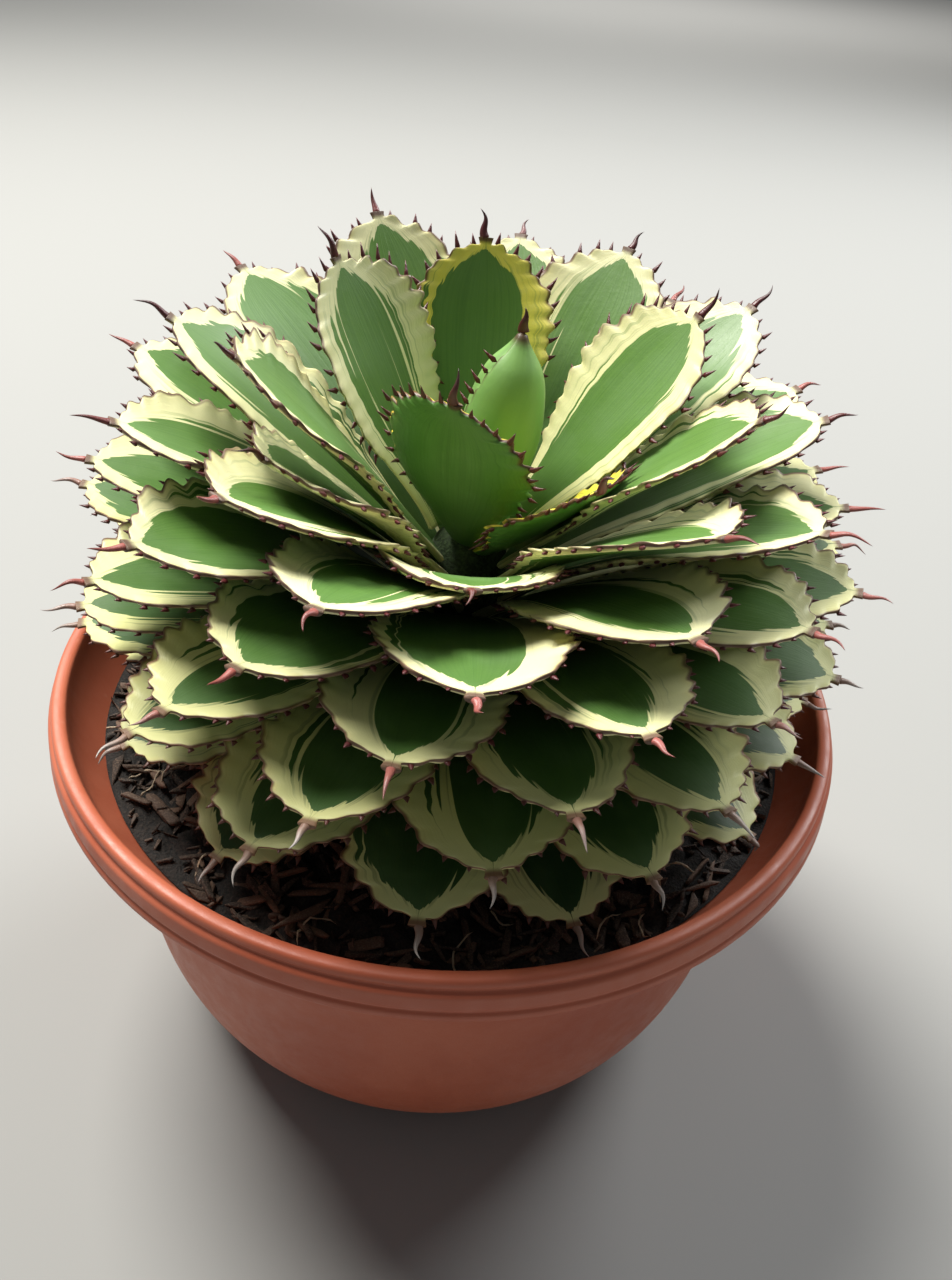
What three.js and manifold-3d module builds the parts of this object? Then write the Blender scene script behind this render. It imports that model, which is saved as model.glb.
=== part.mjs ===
import * as THREE from "three";
import { mergeVertices } from "three/addons/utils/BufferGeometryUtils.js";
import Module from "manifold-3d";

// A variegated dwarf butterfly agave in a round terracotta-coloured plastic bowl.
// Millimetres, +Z up. The origin is the middle of the bowl's flat base.

function radians(degrees) {
  return THREE.MathUtils.degToRad(degrees);
}

// Bowl
const rimRadius = 150;
const rimEdgeHeight = 145; // lower edge of the rim's band above the base
const rimTop = rimEdgeHeight + 16;
const wallRadius = 127;
const baseRadius = 76;
const wallThickness = 3;
const flareWidth = 14; // how far the wall widens under the rim
const flareHeight = 14;
const bendHeight = 117; // height at which the wall starts to turn in
const bowlSides = 48;
const wallRings = 7;

// Soil
const soilHeight = 138;
const soilGap = 0.35;
const soilRelief = 2.2;
const soilRings = 8;
const holeDepth = 46;

// Stem
const stemRadius = 20;
const neckRadius = 15;
const stemSides = 32;

// Rosette: the leaves point away from one centre, each turned from the last by the same angle
const turnStep = radians(137.8);
const firstTurn = radians(182);
const leafCount = 87;
const heartLeaves = 3; // the bud and the two leaves that clasp it
const lowLeaves = 28; // oldest leaves, grown on the stem near the soil
const spreadLeaves = 14; // leaves that open out fast before the rest follow evenly
const leavesPerHalf = 74.4; // leaves between the top and the level of the centre
const missingLeaves = 13.5; // how many fewer stand in the top than an even spread would have
const centreX = 3;
const centreY = 3;
const centreHeight = rimEdgeHeight + 54;
const rosetteRadius = 138;
const youngDip = 41; // how much shorter the young leaves are, fading over youngSpan leaves
const youngSpan = 4.2;
// leaves that stand off the even spiral: degrees from the upright, degrees about it, reach, arch
const placedLeaves = {
  0: [15, 76, 92, -3],
  1: [36, 318, 88, -6],
  2: [16, 241, 94, -8],
  3: [36, 98, 118, -2],
  4: [35.5, 29.5, 121, 0],
  5: [33, 146, 118, 0],
  6: [43, 65, 131, 2],
  10: [46, 220, 118, 2],
  18: [54, 270, 114, 4],
};
const leanX = 0.07; // the crown leans, most for the youngest leaves
const leanY = -0.23;
const stemDrop = 46; // how far the lowest leaves start below the youngest

// Leaf
const leafStart = 20.3;
const leafHalfWidth = 25.5;
const leafArch = 8.6; // how far an old leaf bows up between its neck and its tip
const budRadii = [9, 13, 14.5, 13, 10]; // from the bud's tip down
const budSides = 14;
const heartBaseTop = [[0, 12], [7, 8.4]]; // radius and height above the leaves' start
const heartBaseSpread = [0.49, 0.25, 0]; // angles from the upright, down its round underside
const heartClasp = 0.45; // how much nearer the axis the heart's leaves start
const leafTwist = 0.08;
const neckShare = 0.28;
const widestAt = 0.7;
const tipBluntness = 3;
const tipRoundness = 0.85;
const leafThickness = 4.6;
const tipThickness = 2;
const gutterDepth = 4;
const toothLength = 3.4;
const tipHalfWidth = 1.3;
const spineLength = 10.5;
const leafSteps = 8; // steps along the midrib, with two steps of the margin in each
const firstTooth = 5; // step of the margin where the teeth begin
const marginDepth = 0.5; // how far the margin lies below the upper face
const spineDepth = 1;

const wasm = await Module();
wasm.setup();

// Repeatable random numbers between -1 and 1
function makeDice(seed) {
  let state = seed;
  return () => {
    state = (state * 1664525 + 1013904223) % 4294967296;
    return state / 2147483648 - 1;
  };
}

function finish(colour, roughness) {
  return new THREE.MeshStandardMaterial({ color: colour, roughness, metalness: 0 });
}

function smooth(share) {
  const t = THREE.MathUtils.clamp(share, 0, 1);
  return t * t * (3 - 2 * t);
}

function toSolid(geometry) {
  const bare = geometry.clone();
  bare.deleteAttribute("normal");
  bare.deleteAttribute("uv");
  const merged = mergeVertices(bare, 1e-4);
  return new wasm.Manifold(
    new wasm.Mesh({
      numProp: 3,
      vertProperties: merged.attributes.position.array,
      triVerts: new Uint32Array(merged.index.array),
    }),
  );
}

// The outer skin of a solid: its largest body, without sealed hollows
function toGeometry(solid) {
  const body = solid.decompose().sort((a, b) => b.volume() - a.volume())[0];
  const mesh = body.getMesh();
  const geometry = new THREE.BufferGeometry();
  geometry.setAttribute("position", new THREE.BufferAttribute(mesh.vertProperties, 3));
  geometry.setIndex(new THREE.BufferAttribute(mesh.triVerts, 1));
  geometry.computeVertexNormals();
  return geometry;
}

function joined(geometries) {
  return toGeometry(geometries.map(toSolid).reduce((sum, solid) => sum.add(solid)));
}

// A lathe about Z from [radius, height] pairs, listed from the top of the axis down the outside
function turned(outline, sides) {
  const points = outline.map(([radius, height]) => new THREE.Vector2(radius, height)).reverse();
  const geometry = new THREE.LatheGeometry(points, sides);
  geometry.rotateX(Math.PI / 2);
  return geometry;
}

function wallAt(height) {
  const flare = flareWidth * Math.exp((height - rimEdgeHeight) / flareHeight);
  const turn = THREE.MathUtils.clamp((bendHeight - height) / bendHeight, 0, 1);
  return baseRadius + (wallRadius - baseRadius) * (1 - turn ** 4) ** (2 / 3) + flare;
}

function innerWallAt(height) {
  return wallAt(height) - wallThickness;
}

// Heights down the wall, closer together where it turns in
function wallHeights(top, bottom) {
  return Array.from({ length: wallRings + 1 }, (_, i) => {
    return bottom + (top - bottom) * (1 - Math.sin((i / wallRings) * (Math.PI / 2)));
  });
}

const floorHeight = wallThickness + 1;
const innerLevels = wallHeights(rimEdgeHeight - 8, floorHeight);

function potGeometry() {
  const edge = rimEdgeHeight;
  const rim = [
    [innerWallAt(edge + 1), edge + 1],
    [rimRadius - 8.5, edge + 10],
    [rimRadius - 7.5, edge + 14],
    [rimRadius - 6, edge + 16],
    [rimRadius - 3.6, edge + 16],
    [rimRadius - 2.2, edge + 14.4],
    [rimRadius - 2.6, edge + 12.2],
    [rimRadius - 0.9, edge + 10.6],
    [rimRadius - 0.4, edge + 5],
    [rimRadius - 1.1, edge + 4],
    [rimRadius, edge + 3],
    [rimRadius, edge],
    [wallAt(edge - 3) + 1, edge - 2],
  ];
  const outside = wallHeights(edge - 8, 0).map((height) => [wallAt(height), height]);
  const inside = innerLevels.map((height) => [innerWallAt(height), height]).reverse();
  return turned([[0, floorHeight], ...inside, ...rim, ...outside, [0, 0]], bowlSides);
}

function soilGeometry() {
  const outer = innerWallAt(soilHeight) - soilGap;
  const top = Array.from({ length: soilRings + 1 }, (_, i) => [(outer * i) / soilRings, soilHeight]);
  const side = innerLevels.map((height) => {
    return [innerWallAt(height) - soilGap, Math.max(height, floorHeight + soilGap)];
  });
  const geometry = turned([...top, ...side, [0, floorHeight + soilGap]], bowlSides);
  const position = geometry.attributes.position;
  const point = new THREE.Vector3();
  for (let i = 0; i < position.count; i += 1) {
    point.fromBufferAttribute(position, i);
    const radius = Math.hypot(point.x, point.y);
    const onTop = point.z > soilHeight - 0.1 && radius < outer - 1;
    const chips = Math.sin(point.x * 0.37 + 2 * Math.sin(point.y * 0.21))
      * Math.cos(point.y * 0.33 + 2 * Math.sin(point.x * 0.17));
    if (onTop) position.setZ(i, point.z + soilRelief * chips);
  }
  const hole = new THREE.CylinderGeometry(neckRadius + 0.4, neckRadius + 0.4, 2 * holeDepth, stemSides);
  hole.rotateX(Math.PI / 2).translate(centreX, centreY, soilHeight);
  return toGeometry(toSolid(geometry).subtract(toSolid(hole)));
}

const upright = new THREE.Vector3(0, 0, 1);

// The way from the rosette's centre at an angle from the upright and a turn about the axis
function rosetteWay(polar, turn) {
  const way = new THREE.Vector3().setFromSphericalCoords(1, polar, turn);
  const leaning = ((1 + way.y) / 2) ** 2;
  return new THREE.Vector3(way.z + leanX * leaning, way.x + leanY * leaning, way.y).normalize();
}

function rosettePoint(distance, polar, turn) {
  const sunk = stemDrop * smooth((polar - 0.5) / 1.5) * (1 - distance / rosetteRadius);
  return rosetteWay(polar, turn)
    .multiplyScalar(distance)
    .add(new THREE.Vector3(centreX, centreY, centreHeight - sunk));
}

// Angle of a leaf from the upright
function leafPolar(index) {
  const evenPolar = (count) => Math.acos(1 - (count + missingLeaves) / leavesPerHalf);
  if (index >= spreadLeaves) return evenPolar(index);
  return evenPolar(spreadLeaves) * Math.sqrt((index + 0.1) / spreadLeaves);
}

// One leaf of the spiral, counted from the youngest
function leafPlan(index) {
  const dice = makeDice(index * 7919 + 17);
  dice();
  const reach = rosetteRadius - youngDip * Math.exp(-index / youngSpan) + 2.5 * dice();
  const placed = placedLeaves[index];
  const even = { polar: leafPolar(index + 1), turn: firstTurn + (index + 1) * turnStep, reach };
  const seat = placed ? { polar: radians(placed[0]), turn: radians(placed[1]), reach: placed[2] } : even;
  return {
    ...seat,
    halfWidth: leafHalfWidth * (0.86 + 0.14 * smooth(index / 5)) * (1 + 0.05 * dice()),
    arch: placed ? placed[3] : leafArch * smooth(index / 24),
    clasp: index < heartLeaves ? heartClasp : 0,
    twist: leafTwist * dice(),
    spineBend: 3 * dice(),
    spine: spineLength * (1 + 0.2 * dice()),
  };
}

// Share of the full width at a share of the length: a narrow neck, a broad blade, a blunt tip
function widthShare(along) {
  const growing = neckShare + (1 - neckShare) * smooth(along / widestAt);
  const closing = Math.max((along - widestAt) / (1 - widestAt), 0);
  return growing * (1 - closing ** tipBluntness) ** tipRoundness;
}

// A point of the leaf, sideways from its midrib and with depth below its upper face
function leafPoint(plan, along, sideways, depth) {
  const share = widthShare(Math.min(along, 1));
  const distance = plan.start + (plan.reach - plan.start) * along;
  const polar = plan.polar * (1 - plan.clasp * Math.max(1 - along, 0));
  const way = rosetteWay(polar, plan.turn);
  const across = new THREE.Vector3(-Math.sin(plan.turn), Math.cos(plan.turn), 0);
  across.addScaledVector(way, -across.dot(way)).normalize();
  const rise = way.clone().cross(across);
  const twist = plan.twist * Math.min(along, 1);
  const bow = 4 * plan.arch * along * (1 - along);
  const cup = gutterDepth * share * Math.min((sideways / plan.halfWidth) ** 2, 1.2);
  const point = rosettePoint(distance, polar, plan.turn)
    .addScaledVector(across, sideways * Math.cos(twist))
    .addScaledVector(rise, sideways * Math.sin(twist) + bow + cup - depth);
  return clearOfBowl(point);
}

// Low tips are bent clear of the soil and of the bowl's wall
function clearOfBowl(point) {
  point.z = Math.max(point.z, soilHeight + soilRelief + 1);
  const radius = Math.hypot(point.x, point.y);
  const limit = innerWallAt(Math.min(point.z, rimEdgeHeight + 1)) - 2.5;
  if (point.z < rimTop + 2 && radius > limit) {
    point.x *= limit / radius;
    point.y *= limit / radius;
  }
  return point;
}

function leafGeometry(index, start) {
  const plan = { ...leafPlan(index), start };
  const points = [];
  const faces = [];
  const add = (point) => points.push(point) - 1;
  const last = 2 * leafSteps;
  const top = [];
  const under = [];
  const margins = [[], []];
  for (let i = 0; i <= leafSteps; i += 1) {
    const along = i / leafSteps;
    top.push(add(leafPoint(plan, along, 0, 0)));
    under.push(add(leafPoint(plan, along, 0, leafThickness + (tipThickness - leafThickness) * along)));
  }
  for (let i = 0; i <= last; i += 1) {
    const along = i / last;
    const tooth = i >= firstTooth && i % 2 === 1 ? toothLength : 0;
    const half = Math.max(plan.halfWidth * widthShare(along), tipHalfWidth) + tooth;
    margins[0].push(add(leafPoint(plan, along, -half, marginDepth)));
    margins[1].push(add(leafPoint(plan, along, half, marginDepth)));
  }
  // each face is split alike, with the margin shared by both
  const strip = (mid, margin, mirrored) => {
    for (let i = 0; i < leafSteps; i += 1) {
      const j = 2 * i;
      const three = [
        [mid[i], margin[j + 1], margin[j]],
        [mid[i], mid[i + 1], margin[j + 1]],
        [mid[i + 1], margin[j + 2], margin[j + 1]],
      ];
      three.forEach(([a, b, c]) => faces.push(...(mirrored ? [a, c, b] : [a, b, c])));
    }
  };
  strip(top, margins[0], true);
  strip(top, margins[1], false);
  strip(under, margins[0], false);
  strip(under, margins[1], true);
  const spine = add(leafPoint(plan, 1 + plan.spine / plan.reach, plan.spineBend, spineDepth));
  faces.push(top[0], under[0], margins[0][0], top[0], margins[1][0], under[0]);
  faces.push(top[leafSteps], margins[0][last], spine, top[leafSteps], spine, margins[1][last]);
  faces.push(under[leafSteps], spine, margins[0][last], under[leafSteps], margins[1][last], spine);
  const geometry = new THREE.BufferGeometry().setFromPoints(points);
  geometry.setIndex(faces);
  return geometry;
}

// The stem: a leaning dome that the leaves' necks stand round, on a neck that goes into the soil
function stemGeometry() {
  const steps = 10;
  const lowest = leafPolar(leafCount + 1);
  const dome = Array.from({ length: steps + 1 }, (_, i) => {
    const polar = (lowest * i) / steps;
    return [stemRadius * Math.sin(polar), stemRadius * Math.cos(polar)];
  });
  const neckTop = soilHeight + 4 - centreHeight;
  const neckEnd = soilHeight - holeDepth + soilGap - centreHeight;
  const geometry = turned([...dome, [neckRadius, neckTop], [neckRadius, neckEnd], [0, neckEnd]], stemSides);
  const position = geometry.attributes.position;
  const point = new THREE.Vector3();
  for (let i = 0; i < position.count; i += 1) {
    point.fromBufferAttribute(position, i);
    if (point.z > neckTop + 1) {
      const polar = Math.atan2(Math.hypot(point.x, point.y), point.z);
      point.copy(rosettePoint(stemRadius, polar, Math.atan2(point.y, point.x)));
    } else {
      point.add(new THREE.Vector3(centreX, centreY, centreHeight));
    }
    position.setXYZ(i, point.x, point.y, point.z);
  }
  return geometry;
}

function pointed(geometry, way) {
  geometry.applyQuaternion(new THREE.Quaternion().setFromUnitVectors(upright, way));
  return geometry.translate(centreX, centreY, centreHeight);
}

// The closed bud: the youngest leaf is still rolled into a spindle, which ends in a spine
function budGeometry() {
  const plan = leafPlan(0);
  const step = (plan.reach - leafStart) / (budRadii.length + 1);
  const body = budRadii.map((radius, i) => [radius, plan.reach - (i + 1) * step]);
  const outline = [[0, plan.reach + plan.spine], [tipHalfWidth, plan.reach], ...body, [0, leafStart]];
  return pointed(turned(outline, budSides), rosetteWay(plan.polar, plan.turn));
}

// The low dome that the bud and its two leaves grow from
function heartBaseGeometry() {
  const foot = heartBaseSpread.map((polar) => [leafStart * Math.sin(polar), leafStart * Math.cos(polar)]);
  const top = heartBaseTop.map(([radius, height]) => [radius, leafStart + height]);
  return pointed(turned([...top, ...foot], budSides), rosetteWay(0, 0));
}

const plant = new THREE.Group();

function place(name, geometry, material) {
  const mesh = new THREE.Mesh(geometry, material);
  mesh.name = name;
  plant.add(mesh);
}

const terracotta = finish(0xb4583f, 0.55);
const darkSoil = finish(0x2a211c, 0.95);
const leafGreen = finish(0x4f7d4a, 0.5);
const youngGreen = finish(0x7fa35a, 0.5);

place("pot", potGeometry(), terracotta);
place("soil", soilGeometry(), darkSoil);

const lowFirst = leafCount - lowLeaves;
const lowGeometries = Array.from({ length: lowLeaves }, (_, i) => {
  return leafGeometry(lowFirst + i, stemRadius - 6);
});
place("stem_with_low_leaves", joined([stemGeometry(), ...lowGeometries]), leafGreen);

for (let i = heartLeaves; i < lowFirst; i += 1) {
  const name = "leaf_" + String(i - heartLeaves + 1).padStart(2, "0");
  place(name, leafGeometry(i, leafStart), leafGreen);
}

const heartGeometries = Array.from({ length: heartLeaves - 1 }, (_, i) => leafGeometry(i + 1, leafStart));
place("heart", joined([budGeometry(), heartBaseGeometry(), ...heartGeometries]), youngGreen);

export default plant;
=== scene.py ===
import bisect
import math
import random

import bmesh
import bpy
from mathutils import Matrix, Vector


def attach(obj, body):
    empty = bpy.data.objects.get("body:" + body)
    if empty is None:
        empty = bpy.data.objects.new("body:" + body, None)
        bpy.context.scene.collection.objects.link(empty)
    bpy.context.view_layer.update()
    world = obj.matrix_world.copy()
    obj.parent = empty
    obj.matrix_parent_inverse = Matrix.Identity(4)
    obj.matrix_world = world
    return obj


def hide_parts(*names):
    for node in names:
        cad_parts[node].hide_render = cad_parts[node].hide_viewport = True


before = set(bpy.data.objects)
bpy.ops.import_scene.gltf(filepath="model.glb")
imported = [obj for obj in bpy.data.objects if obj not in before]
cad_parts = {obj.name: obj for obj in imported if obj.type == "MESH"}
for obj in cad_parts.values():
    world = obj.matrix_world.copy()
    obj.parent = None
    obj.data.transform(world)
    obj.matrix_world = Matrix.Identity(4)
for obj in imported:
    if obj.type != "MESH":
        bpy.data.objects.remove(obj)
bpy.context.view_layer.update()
print("frame loaded with", len(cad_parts), "nodes")

# Metres and degrees throughout, +Z up, the middle of the bowl's base at the origin.

plantMiddle = Vector((0.003, 0.003, 0.199))  # where the leaves spring from


# Small helpers

def smooth(share):
    t = min(max(share, 0), 1)
    return t * t * (3 - 2 * t)


def mix(low, high, share):
    return low + (high - low) * share


def makeDice(seed):
    # even random numbers from -1 to 1, the same on every run
    state = seed

    def roll():
        nonlocal state
        state = (state * 1664525 + 1013904223) % 4294967296
        return state / 2147483648 - 1

    return roll


def saveMesh(bm, name):
    mesh = bpy.data.meshes.new(name)
    bm.to_mesh(mesh)
    bm.free()
    return mesh


def finishPiece(bm, name, materials, nodes):
    mesh = saveMesh(bm, name)
    for face in mesh.polygons:
        face.use_smooth = True
    for material in materials:
        mesh.materials.append(material)
    piece = bpy.data.objects.new(name, mesh)
    bpy.context.scene.collection.objects.link(piece)
    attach(piece, "root")
    if nodes:
        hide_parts(*nodes)


def addCopy(bm, template):
    # a copy of the template joins the piece, and its vertices are handed back
    before = len(bm.verts)
    bm.from_mesh(template, face_normals=False, vertex_normals=False)
    bm.verts.ensure_lookup_table()
    return bm.verts[before:]


def makeTube(name, layerNames, sides, rings, materialIndex):
    # a sheet rolled into a tube with both ends drawn to a point; the first layer keeps
    # each vertex's share round and along
    bm = bmesh.new()
    layers = [bm.verts.layers.float_vector.new(layerName) for layerName in layerNames]
    made = bmesh.ops.create_grid(bm, x_segments=sides, y_segments=rings, size=0.5)["verts"]
    for vertex in made:
        around, along = vertex.co.x + 0.5, vertex.co.y + 0.5
        vertex[layers[0]] = (around, along, 0)
        radius = 0 if round(along * rings) in (0, rings) else 1
        turn = math.tau * around
        vertex.co = (radius * math.cos(turn), radius * math.sin(turn), rings * along)
    bmesh.ops.remove_doubles(bm, verts=bm.verts, dist=1e-4)
    for face in bm.faces:
        face.material_index = materialIndex
    return saveMesh(bm, name)


def holdInside(point, limit):
    reach = math.hypot(point.x, point.y)
    if reach > limit:
        point.x *= limit / reach
        point.y *= limit / reach
    return point


# Node helpers: each returns the output socket of a new node

def put(tree, socket, value):
    # another socket is linked, a number is written in, and a colour's three numbers are made opaque
    if isinstance(value, bpy.types.NodeSocket):
        tree.links.new(value, socket)
    else:
        socket.default_value = (*value, 1) if isinstance(value, tuple) else value


def maths(tree, operation, first, second=0.0, clamp=False):
    node = tree.nodes.new("ShaderNodeMath")
    node.operation = operation
    node.use_clamp = clamp
    put(tree, node.inputs[0], first)
    put(tree, node.inputs[1], second)
    return node.outputs[0]


def times(tree, first, second):
    return maths(tree, "MULTIPLY", first, second)


def plus(tree, first, second):
    return maths(tree, "ADD", first, second)


def minus(tree, first, second):
    return maths(tree, "SUBTRACT", first, second)


def ramp(tree, value, low, high, start=0.0, end=1.0):
    node = tree.nodes.new("ShaderNodeMapRange")
    node.interpolation_type = "SMOOTHSTEP"
    put(tree, node.inputs["Value"], value)
    put(tree, node.inputs["From Min"], low)
    put(tree, node.inputs["From Max"], high)
    put(tree, node.inputs["To Min"], start)
    put(tree, node.inputs["To Max"], end)
    return node.outputs["Result"]


def blendColour(tree, share, first, second):
    node = tree.nodes.new("ShaderNodeMix")
    node.data_type = "RGBA"
    put(tree, node.inputs["Factor"], share)
    put(tree, node.inputs["A"], first)
    put(tree, node.inputs["B"], second)
    return node.outputs["Result"]


def vector(tree, x, y, z):
    node = tree.nodes.new("ShaderNodeCombineXYZ")
    for socket, value in zip(node.inputs, (x, y, z)):
        put(tree, socket, value)
    return node.outputs[0]


def noise(tree, place, scale, detail, roughness=0.5):
    node = tree.nodes.new("ShaderNodeTexNoise")
    put(tree, node.inputs["Vector"], place)
    node.inputs["Scale"].default_value = scale
    node.inputs["Detail"].default_value = detail
    node.inputs["Roughness"].default_value = roughness
    return node.outputs["Fac"]


def attribute(tree, name):
    # the three parts of a vertex attribute
    node = tree.nodes.new("ShaderNodeAttribute")
    node.attribute_name = name
    parts = tree.nodes.new("ShaderNodeSeparateXYZ")
    tree.links.new(node.outputs["Vector"], parts.inputs[0])
    return parts.outputs


def objectPlace(tree):
    return tree.nodes.new("ShaderNodeTexCoord").outputs["Object"]


def newMaterial(name):
    material = bpy.data.materials.new(name)
    material.use_nodes = True
    shader = material.node_tree.nodes["Principled BSDF"]
    return material, material.node_tree, shader


def newGroup(name, inputs, outputs):
    group = bpy.data.node_groups.new(name, "ShaderNodeTree")
    for label, kind in inputs:
        group.interface.new_socket(label, in_out="INPUT", socket_type=kind)
    for label, kind in outputs:
        group.interface.new_socket(label, in_out="OUTPUT", socket_type=kind)
    return group, group.nodes.new("NodeGroupInput").outputs, group.nodes.new("NodeGroupOutput").inputs


def useGroup(tree, group, values):
    node = tree.nodes.new("ShaderNodeGroup")
    node.node_tree = group
    for label, value in values.items():
        put(tree, node.inputs[label], value)
    return node.outputs


def dress(tree, shader, colour, gloss, roughness, relief, depth, strength):
    # the end of every finish: its colour, its roughness between two values, and its relief
    tree.links.new(colour, shader.inputs["Base Color"])
    tree.links.new(ramp(tree, gloss, 0.3, 0.7, *roughness), shader.inputs["Roughness"])
    node = tree.nodes.new("ShaderNodeBump")
    node.inputs["Strength"].default_value = strength
    node.inputs["Distance"].default_value = depth
    tree.links.new(relief, node.inputs["Height"])
    tree.links.new(node.outputs["Normal"], shader.inputs["Normal"])


# Shader groups

# shares of the half width, and of the length, at which the parts of a blade's pattern lie
pattern = {
    "apart": (61.0, 4.3, 9.1),  # how far leaves, sides and faces stand apart in the noise
    "wander": 0.22,  # how far the boundary of the green strays
    "wanderPitch": 1.6,
    "veins": 13.0,
    "veinPitch": 0.9,
    "streakFade": (0.97, 0.74),  # the streaks fade towards the tip
    "closeFrom": 0.74,  # where the cream begins to close round the tip
    "closeSpan": 0.22,
    "closePower": 2.4,
    "boundary": (-0.010, 0.014),
    "sideShift": 0.29,
    "sideMix": 7.31,
    "underClose": 2.2,  # how much less the cream closes round the underside's tip
    "fineVeins": 19.0,
    "fineShift": 3.3,
    "fineEdge": (0.51, 0.62),
    "fineReach": (0.30, 0.02),  # how far past the green the fine pale streaks lie
    "hornyEdge": (0.92, 0.98),
    "hornyFrom": (0.58, 0.84),
    "hornyTip": (0.972, 0.992),
}


def makeVariegation():
    takes = ("Across", "Along", "Face", "Seed", "Green Share", "Side Spread", "Under Share", "Streaks")
    gives = ("Cream", "Pale Green", "Horny Edge")
    group, given, result = newGroup(
        "leafVariegation",
        [(label, "NodeSocketFloat") for label in takes],
        [(label, "NodeSocketFloat") for label in gives],
    )
    across, along, face, seed = (given[label] for label in takes[:4])
    away = maths(group, "ABSOLUTE", across)
    side = maths(group, "SIGN", across)
    under = ramp(group, face, 0.3, -0.3)
    byLeaf, bySide, byFace = pattern["apart"]
    own = plus(group, times(group, seed, byLeaf), times(group, side, bySide))
    own = plus(group, own, times(group, under, byFace))
    # the boundary wanders slowly, and streaks run along the veins either side of it
    wander = vector(group, times(group, along, pattern["wanderPitch"]), own, 0.0)
    wander = times(group, minus(group, noise(group, wander, 1.0, 0.0), 0.5), pattern["wander"])
    veins = vector(group, times(group, away, pattern["veins"]), times(group, along, pattern["veinPitch"]), own)
    streak = times(group, minus(group, noise(group, veins, 1.0, 1.0), 0.5), given["Streaks"])
    streak = times(group, streak, ramp(group, along, *pattern["streakFade"], 0.25, 1.0))
    closing = maths(group, "DIVIDE", minus(group, along, pattern["closeFrom"]), pattern["closeSpan"])
    closing = maths(group, "POWER", maths(group, "MAXIMUM", closing, 0.0), pattern["closePower"])
    closing = maths(group, "POWER", maths(group, "SUBTRACT", 1.0, closing, clamp=True), 0.5)
    # one side of a leaf may be greener than the other, and the underside greener than both
    wide = plus(group, seed, times(group, side, pattern["sideShift"]))
    wide = maths(group, "FRACT", times(group, wide, pattern["sideMix"]))
    share = plus(group, given["Green Share"], times(group, wide, given["Side Spread"]))
    share = plus(group, share, times(group, under, given["Under Share"]))
    kept = times(group, times(group, under, pattern["underClose"]), given["Under Share"])
    closing = maths(group, "MAXIMUM", closing, kept)
    green = times(group, plus(group, share, wander), closing)
    beyond = minus(group, plus(group, away, streak), green)
    cream = ramp(group, beyond, *pattern["boundary"])
    fine = vector(group, times(group, away, pattern["fineVeins"]), times(group, along, pattern["wanderPitch"]),
                  plus(group, own, pattern["fineShift"]))
    fine = ramp(group, noise(group, fine, 1.0, 2.0), *pattern["fineEdge"])
    pale = times(group, fine, ramp(group, beyond, *pattern["fineReach"]))
    edge = times(group, ramp(group, away, *pattern["hornyEdge"]), ramp(group, along, *pattern["hornyFrom"]))
    horny = maths(group, "MAXIMUM", edge, ramp(group, along, *pattern["hornyTip"]))
    for label, mask in zip(gives, (cream, pale, horny)):
        group.links.new(mask, result[label])
    return group


def makeMottle():
    group, given, result = newGroup(
        "mottle",
        [("Place", "NodeSocketVector"), ("Size", "NodeSocketFloat")],
        [("Broad", "NodeSocketFloat"), ("Fine", "NodeSocketFloat")],
    )
    scaled = group.nodes.new("ShaderNodeVectorMath")
    scaled.operation = "SCALE"
    group.links.new(given["Place"], scaled.inputs[0])
    group.links.new(given["Size"], scaled.inputs["Scale"])
    group.links.new(noise(group, scaled.outputs[0], 1.0, 3.0, 0.55), result["Broad"])
    group.links.new(noise(group, scaled.outputs[0], 9.0, 4.0, 0.6), result["Fine"])
    return group


variegation = makeVariegation()
mottle = makeMottle()


# Finishes

bladeLook = {
    "youngGreen": (0.120, 0.250, 0.045),
    # the old leaves' green, darker partly by age and partly as painted shade on the low leaves
    "oldShadedGreen": (0.018, 0.056, 0.016),
    # the bud's green, made lighter as painted light
    "budLitGreen": (0.290, 0.540, 0.150),
    # painted shade towards the foot of the older leaves
    "ribGreen": (0.035, 0.105, 0.020),
    "footShadeGreen": (0.006, 0.023, 0.008),
    "bloom": 0.32,
    "bloomColour": (0.150, 0.275, 0.100),
    "yellow": (0.88, 0.77, 0.07),
    "cream": (0.80, 0.78, 0.45),
    # the old leaves' cream, duller partly by age and partly as painted shade on the low leaves
    "oldShadedCream": (0.70, 0.70, 0.31),
    "creamShade": (0.68, 0.68, 0.34),
    "rind": (0.76, 0.66, 0.28),
    "yellowUntil": (0.030, 0.050),
    "youngHorn": (0.075, 0.012, 0.016),
    "oldHorn": (0.17, 0.055, 0.035),
    "greenShare": 0.47,
    "sideSpread": 0.30,
    "underShare": 0.12,
    "streaks": 1.0,
    "sheen": 0.42,
    "roughness": (0.40, 0.54),
    "patches": 42.0,
    "ribs": (34.0, 2.0),  # across and along
    "ribShare": 0.22,
    "budAge": (0.007, 0.003),
    "footShadeAlong": (0.85, 0.25),
    "footShadeAge": (0.05, 0.55, 0.25, 0.8),
    "oldAge": (0.25, 0.7),
    "rindAcross": (0.78, 1.0),
    "rindShare": (0.25, 0.4),  # at least, and how much more it may be
    "shadeShare": 0.18,
    "hornShare": 0.9,
    "hornAge": (0.25, 0.9),
    "relief": (0.6, 0.5),  # of the ribs and of the fine patches
}

youngLook = {
    **bladeLook,
    "youngGreen": (0.105, 0.250, 0.042),
    "yellow": (0.86, 0.72, 0.05),
    "rind": (0.74, 0.58, 0.06),
    "creamShade": (0.62, 0.60, 0.12),
    "greenShare": 0.60,
    "sideSpread": 0.16,
    "underShare": 0.42,
    "streaks": 0.40,
    "bloom": 0.40,
    "bloomColour": (0.210, 0.370, 0.120),
}


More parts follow.
